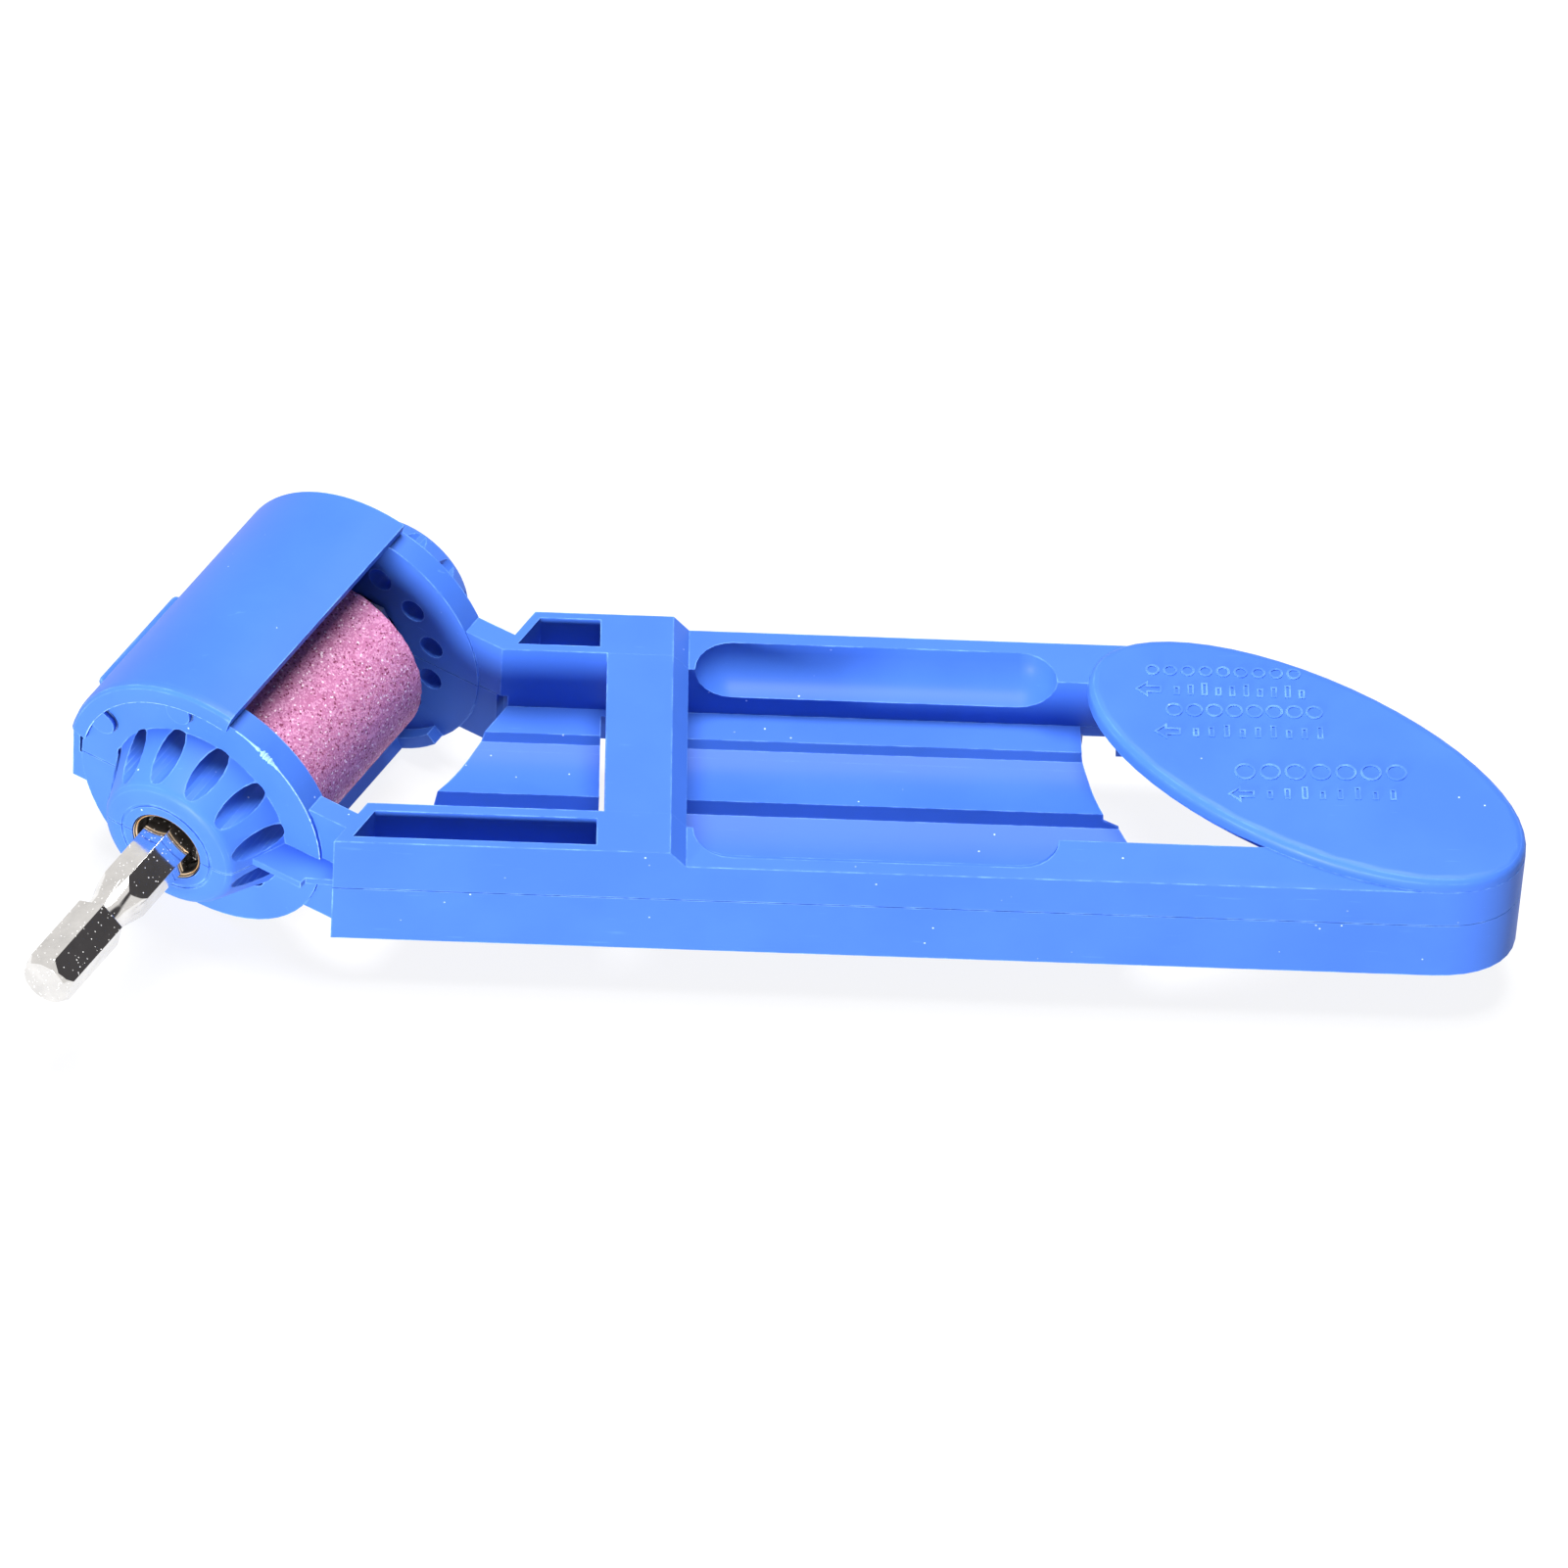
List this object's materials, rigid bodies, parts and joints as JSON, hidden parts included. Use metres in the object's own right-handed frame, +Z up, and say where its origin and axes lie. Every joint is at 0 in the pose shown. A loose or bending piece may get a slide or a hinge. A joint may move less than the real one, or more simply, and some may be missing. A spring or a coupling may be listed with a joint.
{
  "type": "drill bit sharpener",
  "caption": "Drill-driven sharpener: a grinding wheel on a hex shank turns under a curved guard at the end of a long two-part plastic guide for drill bits.",
  "frame": {"origin": "centre of the end face of the hex shank, on the wheel's axis", "axes": "+X along the handle from the wheel to the grip, +Y towards the back rail, +Z up, out of the trough; the wheel's axis lies in the XY plane, 59 degrees from +X"},
  "size_m": [0.1841, 0.0771, 0.0369],
  "materials": {
    "blue_plastic": "moulded, semi-gloss",
    "pink_corundum": "bonded abrasive, rough",
    "chromed_steel": "polished",
    "bearing_steel": "ground",
    "bush_bronze": "turned",
    "zinc_plated_steel": "zinc plated"
  },
  "bodies": {
    "sharpener_body": {"upper_shell": "blue_plastic", "lower_shell": "blue_plastic", "front_bush": "bush_bronze", "front_bearing_outer_race": "bearing_steel", "rear_bearing_outer_race": "bearing_steel", "front_bearing_front_shield": "bearing_steel", "front_bearing_rear_shield": "bearing_steel", "rear_bearing_front_shield": "bearing_steel", "rear_bearing_rear_shield": "bearing_steel", "shell_screw_1": "zinc_plated_steel", "shell_screw_2": "zinc_plated_steel", "shell_screw_3": "zinc_plated_steel", "shell_screw_4": "zinc_plated_steel", "shell_screw_5": "zinc_plated_steel", "shell_screw_6": "zinc_plated_steel", "shell_screw_7": "zinc_plated_steel"},
    "wheel_rotor": {"spindle": "chromed_steel", "grinding_wheel": "pink_corundum", "clamp_washer": "zinc_plated_steel", "clamp_nut": "zinc_plated_steel", "front_bearing_inner_race": "bearing_steel", "rear_bearing_inner_race": "bearing_steel"},
    "front_ball_set": {"front_bearing_ball_1": "bearing_steel", "front_bearing_ball_2": "bearing_steel", "front_bearing_ball_3": "bearing_steel", "front_bearing_ball_4": "bearing_steel", "front_bearing_ball_5": "bearing_steel", "front_bearing_ball_6": "bearing_steel", "front_bearing_ball_7": "bearing_steel"},
    "rear_ball_set": {"rear_bearing_ball_1": "bearing_steel", "rear_bearing_ball_2": "bearing_steel", "rear_bearing_ball_3": "bearing_steel", "rear_bearing_ball_4": "bearing_steel", "rear_bearing_ball_5": "bearing_steel", "rear_bearing_ball_6": "bearing_steel", "rear_bearing_ball_7": "bearing_steel"},
    "guard": {"wheel_guard": "blue_plastic"}
  },
  "joints": [
    {"name": "wheel_spin", "type": "hinge", "parent": "sharpener_body", "child": "wheel_rotor", "pos_m": [0, 0, 0], "axis": [0.515, 0.8572, 0], "continuous": true},
    {"name": "front_ball_roll", "type": "hinge", "parent": "sharpener_body", "child": "front_ball_set", "pos_m": [0, 0, 0], "axis": [0.515, 0.8572, 0], "continuous": true},
    {"name": "rear_ball_roll", "type": "hinge", "parent": "sharpener_body", "child": "rear_ball_set", "pos_m": [0, 0, 0], "axis": [0.515, 0.8572, 0], "continuous": true},
    {"name": "guard_release", "type": "slide", "parent": "sharpener_body", "child": "guard", "axis": [-0.4668, 0.2805, 0.8387], "range_m": [0, 0.02]}
  ],
  "couplings": [
    {"joint": "front_ball_roll", "follows": "wheel_spin", "ratio": 0.442},
    {"joint": "rear_ball_roll", "follows": "wheel_spin", "ratio": 0.442}
  ]
}
